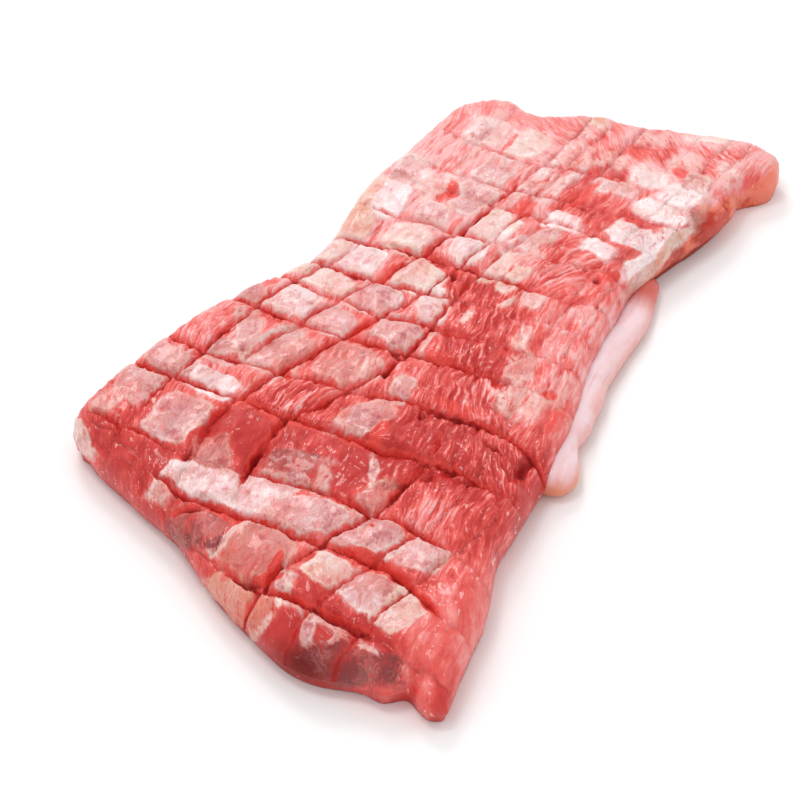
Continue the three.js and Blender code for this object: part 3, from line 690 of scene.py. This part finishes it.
def make_rim():
    shape = bmesh.new()
    bmesh.ops.create_uvsphere(shape, u_segments=RIM_STEPS_ROUND, v_segments=RIM_STEPS_LONG, radius=1)
    mesh = bpy.data.meshes.new("folded_rim")
    shape.to_mesh(mesh)
    shape.free()
    ball = read_places(mesh)
    route_x, route_y, length = rim_route()
    share = 1 - np.arccos(np.clip(ball[:, 2], -1, 1)) / math.pi
    round_angle = np.arctan2(ball[:, 1], ball[:, 0])
    thick = mix(1, RIM_THIN_END, ease(share, RIM_THIN_FROM, 1))
    reach = share * (length + 2 * RIM_HALF_WIDTH) - RIM_HALF_WIDTH
    from_neck = (reach - RIM_NECK_AT) / RIM_NECK_REACH
    half = RIM_HALF_WIDTH * thick * (1 - RIM_NECK_PINCH * np.exp(-(from_neck ** 2)))
    beyond = np.maximum(np.maximum(-reach, reach - length), 0) / RIM_HALF_WIDTH
    girth = np.sqrt(np.clip(1 - beyond**2, 0, 1))
    at = np.clip(reach, 0, length)
    heading_x = route_x(np.clip(at + 1, 0, length)) - route_x(np.clip(at - 1, 0, length))
    heading_y = route_y(np.clip(at + 1, 0, length)) - route_y(np.clip(at - 1, 0, length))
    norm = np.hypot(heading_x, heading_y)
    heading_x, heading_y = heading_x / norm, heading_y / norm
    over = np.cos(round_angle) * girth
    up = (np.sin(round_angle) * girth + 1) / 2
    uneven = 1 + 0.08 * ripple(at / 16, over * 0.8, 121) + 0.03 * ripple(at / 5, over * 2, 123)
    past = np.sign(reach - at) * beyond * half
    x = route_x(at) + heading_x * past - heading_y * over * half * uneven
    y = route_y(at) + heading_y * past + heading_x * over * half * uneven
    z = RIM_HEIGHT * thick * (up * (1 + RIM_UNDERSIDE) - RIM_UNDERSIDE) * uneven
    write_places(mesh, x, y, np.maximum(z, 0.0))
    write_measure(mesh, "crown", up)
    write_measure(mesh, "run", at / length)
    write_grain(mesh, at, over * half, z)
    rim = bpy.data.objects.new("folded_rim", mesh)
    bpy.context.scene.collection.objects.link(rim)
    return rim


def tint(red, green, blue):
    """A colour as seen on a screen, 0 to 255, as the shader's own light values."""
    seen = np.array([red, green, blue]) / 255.0
    light = np.where(seen <= 0.04045, seen / 12.92, ((seen + 0.055) / 1.055) ** 2.4)
    return (*light.tolist(), 1.0)


class Thread:
    """One socket of a finish, on which sums can be written."""

    def __init__(self, finish, socket):
        self.finish, self.socket = finish, socket

    def _sum(self, operation, *terms):
        return self.finish.node("ShaderNodeMath", {"operation": operation}, dict(enumerate(terms)))

    def __add__(self, other):
        return self._sum("ADD", self, other)

    def __sub__(self, other):
        return self._sum("SUBTRACT", self, other)

    def __mul__(self, other):
        return self._sum("MULTIPLY", self, other)

    def __rsub__(self, other):
        return self._sum("SUBTRACT", other, self)

    __radd__ = __add__
    __rmul__ = __mul__

    def size(self):
        return self._sum("ABSOLUTE", self)

    def clamped(self):
        return self._sum("MINIMUM", self._sum("MAXIMUM", self, 0.0), 1.0)


class Finish:
    """A material, and the one way to put a node in it."""

    def __init__(self, name):
        self.material = bpy.data.materials.new(name)
        self.material.use_nodes = True
        self.tree = self.material.node_tree
        self.tree.nodes.clear()

    def node(self, kind, settings=None, sockets=None, output=0):
        made = self.tree.nodes.new(kind)
        for setting, value in (settings or {}).items():
            setattr(made, setting, value)
        for name, value in (sockets or {}).items():
            if isinstance(value, Thread):
                self.tree.links.new(value.socket, made.inputs[name])
            else:
                made.inputs[name].default_value = value
        return Thread(self, made.outputs[output]) if made.outputs else None

    def measure(self, name):
        return self.node("ShaderNodeAttribute", {"attribute_name": name}, output="Fac")

    def grain(self):
        return self.node("ShaderNodeAttribute", {"attribute_name": "grain"}, output="Vector")

    def stretched(self, vector, along, over, up):
        settings = {"operation": "MULTIPLY"}
        return self.node("ShaderNodeVectorMath", settings, {0: vector, 1: (along, over, up)})

    def place(self):
        return self.node("ShaderNodeTexCoord", output="Object")

    def cloud(self, vector, scale, detail=3.0, roughness=0.55, distortion=0.0):
        sockets = {"Vector": vector, "Scale": scale, "Detail": detail, "Roughness": roughness}
        return self.node("ShaderNodeTexNoise", sockets={**sockets, "Distortion": distortion})

    def rise(self, value, low, high):
        """0 where the value is at low, 1 where it is at high, smooth between them."""
        sockets = {"Value": value, "From Min": low, "From Max": high}
        return self.node("ShaderNodeMapRange", {"interpolation_type": "SMOOTHSTEP"}, sockets)

    def blend(self, first, second, share):
        """From the first colour to the second by a share."""
        sockets = {0: share, 6: first, 7: second}
        return self.node("ShaderNodeMix", {"data_type": "RGBA"}, sockets, output=2)

    def bump(self, height, strength, distance, normal=None):
        sockets = {"Height": height, "Strength": strength, "Distance": distance}
        if normal:
            sockets["Normal"] = normal
        return self.node("ShaderNodeBump", sockets=sockets)

    def surface(self, sockets):
        shader = self.node("ShaderNodeBsdfPrincipled", sockets=sockets)
        self.node("ShaderNodeOutputMaterial", sockets={"Surface": shader})
        return self.material


DEEP_RED = tint(190, 38, 34)
RED = tint(206, 56, 50)
CORAL = tint(229, 91, 84)
ROSE = tint(236, 132, 128)
PALE_ROSE = tint(240, 176, 174)
CUT_CORAL = tint(231, 68, 56)
# Dark reds of painted shade at the foot of the cuts and in pits and creases
CUT_SHADE_RED = tint(198, 38, 34)
CUT_SHADE_DARK = tint(142, 8, 8)
# The dark maroon of painted shade on the walls
SHADE_MAROON = tint(104, 20, 16)
RUST, LIGHT_RUST = tint(206, 62, 38), tint(238, 126, 94)
BRUISE = tint(128, 50, 52)
MAUVE = tint(190, 112, 112)
LAVENDER = tint(214, 154, 155)
MILK = tint(236, 210, 214)
# The brightest white: the milkiest skin, and the painted light on the far lip.
PORCELAIN = tint(253, 232, 232)
PEACH = tint(222, 156, 132)
CREAM = tint(231, 199, 188)
FLECK = tint(238, 196, 184)


def cut_sides(finish, unevenness):
    """Where the dark line of painted shade at the foot of a cut runs, how deep the cut is, and where its bright
    side shows.
    """
    line, depth, side = 0.0, 0.0, 0.0
    for name in ("across", "along"):
        gap = finish.measure(name + "_gap") + unevenness
        deep = finish.measure(name + "_deep")
        line = finish.rise(gap.size() - deep * 0.16, 0.9, 0.25) * finish.rise(deep, 0.6, 3.0) + line
        depth = finish.rise(gap.size(), 1.6, 0.4) * deep + depth
        lit = finish.rise(gap, -0.5, 0.6) * finish.rise(gap - deep * deep * 0.11, 1.6, 0.4)
        side = lit * finish.rise(deep, 0.4, 2.6) + side
    return line.clamped(), depth, side.clamped()


def raw_flesh():
    """Muscle in strands, paler in some places, under patches of milky silverskin and fat."""
    finish = Finish("raw_flesh")
    grain, place = finish.grain(), finish.place()
    fibre = finish.cloud(finish.stretched(grain, 0.09, 0.85, 0.4), 1.0, 3.0, 0.5, 0.5)
    hair = finish.cloud(finish.stretched(grain, 0.14, 1.6, 0.7), 1.0, 3.0, 0.6, 0.2)
    fleck = finish.cloud(finish.stretched(grain, 0.22, 0.5, 0.3), 1.0, 3.0, 0.55, 0.6)
    haze = finish.cloud(place, 60.0, 3.0)
    patch = finish.cloud(place, 130.0, 4.0)
    speck = finish.cloud(place, 520.0, 3.0)

    streaked = finish.measure("streaked")
    # Paler on the fibre crests and darker in the valleys between them, on the same fibres the bump raises:
    # partly the muscle's own pale streaks, partly painted highlight and painted shade.
    crest = finish.rise(fibre + (speck - 0.5) * 0.12, 0.5, 0.66)
    valley = finish.rise(fibre, 0.5, 0.34)
    pale = finish.measure("pale") + (streaked + 0.05) * (crest * 0.5 - valley * 0.36 - 0.04)
    pale = pale + (hair - 0.5) * (streaked * 0.6 + 0.3) + (patch - 0.5) * 0.5 + (haze - 0.5) * 0.4
    pale = pale + finish.rise(finish.measure("cover"), -3.5, 0.0) * 0.16
    muscle = finish.blend(DEEP_RED, RED, finish.rise(pale, -0.05, 0.25))
    muscle = finish.blend(muscle, CORAL, finish.rise(pale, 0.2, 0.5))
    muscle = finish.blend(muscle, ROSE, finish.rise(pale, 0.45, 0.75))
    muscle = finish.blend(muscle, PALE_ROSE, finish.rise(pale, 0.7, 1.05))
    muscle = finish.blend(muscle, FLECK, finish.rise(fleck + (speck - 0.5) * 0.2, 0.65, 0.72) * 0.7)

    unevenness = (patch - 0.5) * 1.4 + (speck - 0.5) * 0.8
    line, depth, side = cut_sides(finish, unevenness)
    crease_shade = finish.measure("crease_shade")
    fresh = finish.rise(finish.measure("face") + (patch - 0.5) * 0.5, 0.2, 0.5)
    bright = (side * 0.75 + fresh * 0.7).clamped() * (1.0 - (fibre - 0.5).size() * 1.6)
    muscle = finish.blend(muscle, CUT_CORAL, bright)
    # Painted shade: the foot of each cut, the pits and the creases round lobes go dark red, darker where
    # deeper.
    cut_shade = finish.blend(CUT_SHADE_RED, CUT_SHADE_DARK, (finish.rise(depth, 1.8, 4.5) + crease_shade).clamped())
    muscle = finish.blend(muscle, cut_shade, (line * 0.85 + finish.rise(crease_shade, 0.2, 0.8)).clamped())
    rust_light = finish.rise(patch * 0.8 + hair * 0.5 + (pale - 0.3) * 0.5, 0.56, 0.78)
    rust = finish.blend(RUST, LIGHT_RUST, rust_light)
    muscle = finish.blend(muscle, rust, finish.measure("rusty") * 0.8)
    # Painted shade: the end wall, the wall under the far lip and the feet of the walls go dark maroon, less so
    # on the rust-red wall.
    muscle = finish.blend(muscle, SHADE_MAROON, finish.measure("painted_shade") * (0.92 - finish.measure("rusty") * 0.3))

    ragged = (finish.measure("cover") + (speck - 0.5) * 0.9 + (patch - 0.5) * 2.2) * finish.measure("crisp")
    film = finish.rise(ragged, -0.5, 0.6) * (1.0 - line)
    lip = finish.rise(ragged, -0.1, 0.4) * finish.rise(1.5 - ragged, 0.0, 1.2)
    lip = lip * finish.rise(finish.measure("milky"), -0.2, 0.3)
    vein = finish.cloud(finish.stretched(grain, 0.12, 0.22, 0.2), 1.0, 5.0, 0.62, 1.0)
    crease = finish.rise((vein - 0.5).size(), 0.035, 0.0)
    blotch = finish.rise(patch + (speck - 0.5) * 0.2, 0.52, 0.7)
    milky = finish.measure("milky") + (haze - 0.5) * 1.3 + (vein - 0.5) * 0.9
    milky = milky - blotch * 0.4 + crease * 0.3 + lip * 0.25
    cool = finish.blend(BRUISE, MAUVE, finish.rise(milky, -0.5, 0.05))
    cool = finish.blend(cool, LAVENDER, finish.rise(milky, 0.0, 0.5))
    cool = finish.blend(cool, MILK, finish.rise(milky, 0.45, 1.0))
    warm = finish.blend(PEACH, CREAM, finish.rise(milky, 0.1, 0.9))
    skin = finish.blend(cool, warm, (finish.measure("warm") + lip * 0.45 - blotch * 0.3).clamped())
    # The milkiest skin goes porcelain white; on the far lip this is painted light.
    skin = finish.blend(skin, PORCELAIN, finish.rise(milky, 0.9, 1.5))
    torn = finish.rise(vein, 0.55, 0.66) * (0.95 - finish.measure("crisp"))
    opacity = 1.0 - finish.measure("clear") * 0.85 - finish.rise(fleck, 0.5, 0.32) * 0.35 - torn
    # Painted shade on the walls darkens the skin there as well.
    skin = finish.blend(skin, SHADE_MAROON, finish.measure("painted_shade") * 0.25)
    colour = finish.blend(muscle, skin, (film * opacity).clamped())

    wet = finish.cloud(place, 640.0, 3.0, 0.6)
    relief = finish.bump(hair * 0.7 + fibre + vein * 0.6, 0.5, 0.0007)
    grit = (speck * 0.6 + wet * 0.8) * (1.0 - film * 0.5)
    relief = finish.bump(grit + patch * 0.8 + lip * 0.25, 0.5, 0.0009, relief)
    shaded = (finish.measure("painted_shade") + crease_shade + line * 0.9).clamped()
    return finish.surface({
        "Base Color": colour,
        "Roughness": 0.36 + 0.2 * wet + 0.25 * shaded,
        "Normal": relief,
        "IOR": 1.36,
        "Specular IOR Level": 0.35,
        "Subsurface Weight": 0.2,
        "Subsurface Radius": (1.0, 0.4, 0.32),
        "Subsurface Scale": 0.0014,
        "Coat Weight": (0.42 - shaded * 0.36) * (1.0 - film * 0.25),
        "Coat Roughness": 0.11,
    })


def rim_skin():
    """The smooth, milky-pink outer side of the folded rim, with a painted highlight along its top and painted
    shade, pinker and darker, towards its foot and its far end.
    """
    finish = Finish("rim_skin")
    grain, place = finish.grain(), finish.place()
    patch = finish.cloud(finish.stretched(grain, 0.05, 0.16, 0.1), 1.0, 4.0)
    vein = finish.cloud(finish.stretched(grain, 0.03, 0.5, 0.2), 1.0, 3.0)
    crown = finish.measure("crown") + (patch - 0.5) * 0.7
    # Painted light round the rim: darker orange-pink low down as painted shade, near white along the crown as a
    # painted highlight.
    colour = finish.blend(tint(214, 118, 102), tint(232, 168, 162), finish.rise(crown, 0.15, 0.68))
    colour = finish.blend(colour, tint(236, 210, 215), finish.rise(crown, 0.6, 1.0))
    knob = finish.rise(finish.measure("run"), 0.2, 0.03)
    colour = finish.blend(colour, tint(222, 134, 98), knob * finish.rise(crown, 0.9, 0.35))
    colour = finish.blend(colour, tint(224, 130, 126), finish.rise(vein, 0.58, 0.75) * 0.5)
    # Painted shade at the far end, where the rim runs in under the slab's edge.
    colour = finish.blend(colour, tint(206, 92, 78), finish.rise(finish.measure("run"), 0.82, 0.95))
    fine = finish.cloud(place, 300.0, 3.0)
    return finish.surface({
        "Base Color": colour,
        "Roughness": 0.24 + 0.2 * fine,
        "Normal": finish.bump(patch + fine * 0.2, 0.3, 0.0008),
        "IOR": 1.4,
        "Subsurface Weight": 0.3,
        "Subsurface Radius": (1.0, 0.4, 0.32),
        "Subsurface Scale": 0.003,
        "Coat Weight": 0.4,
        "Coat Roughness": 0.1,
    })


def make_floor():
    shape = bmesh.new()
    bmesh.ops.create_grid(shape, x_segments=1, y_segments=1, size=4.0)
    bmesh.ops.translate(shape, vec=(0, 0, -0.0002), verts=shape.verts)
    mesh = bpy.data.meshes.new("floor")
    shape.to_mesh(mesh)
    shape.free()
    floor = bpy.data.objects.new("floor", mesh)
    bpy.context.scene.collection.objects.link(floor)
    finish = Finish("pale_floor")
    mesh.materials.append(finish.surface({"Base Color": tint(246, 246, 246), "Roughness": 0.9}))


def plan_to_metres(x, y, z):
    return Vector((x - MIDDLE_X, y - MIDDLE_Y, z)) * MM


def make_camera():
    data = bpy.data.cameras.new("camera")
    data.lens, data.sensor_width = LENS_MM, 36.0
    back = VIEW_DISTANCE * math.cos(VIEW_ELEVATION)
    up = VIEW_DISTANCE * math.sin(VIEW_ELEVATION)
    stand = plan_to_metres(-back * math.sin(VIEW_TURN), -back * math.cos(VIEW_TURN), up)
    camera = bpy.data.objects.new("camera", data)
    camera.location = stand
    camera.rotation_euler = (plan_to_metres(0, 0, 0) - stand).to_track_quat("-Z", "Y").to_euler()
    bpy.context.scene.collection.objects.link(camera)
    bpy.context.scene.camera = camera


def soft_light(name, where, size, power):
    data = bpy.data.lights.new(name, "AREA")
    data.shape, data.size, data.energy = "DISK", size, power
    lamp = bpy.data.objects.new(name, data)
    lamp.location = where
    lamp.rotation_euler = (-Vector(where)).to_track_quat("-Z", "Y").to_euler()
    bpy.context.scene.collection.objects.link(lamp)


def light_studio():
    away = Vector((math.sin(VIEW_TURN), math.cos(VIEW_TURN), 0))
    aside = Vector((-math.cos(VIEW_TURN), math.sin(VIEW_TURN), 0))
    soft_light("window_light", away * 1.1 + aside * 0.35 + Vector((0, 0, 1.25)), 0.5, 6.5)
    soft_light("overhead_light", aside * 0.5 + Vector((0, 0, 1.7)), 0.5, 5)
    world = bpy.data.worlds.new("studio")
    world.use_nodes = True
    world.node_tree.nodes["Background"].inputs["Color"].default_value = (1.0, 1.0, 1.0, 1.0)
    world.node_tree.nodes["Background"].inputs["Strength"].default_value = 0.9
    bpy.context.scene.world = world
    bpy.context.scene.view_settings.view_transform = "Standard"
    bpy.context.scene.view_settings.look = "None"


def finish_piece(piece, material):
    piece.data.materials.append(material)
    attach(piece, "root")
    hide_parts("suadero")


finish_piece(make_slab(), raw_flesh())
finish_piece(make_rim(), rim_skin())
make_floor()
make_camera()
light_studio()
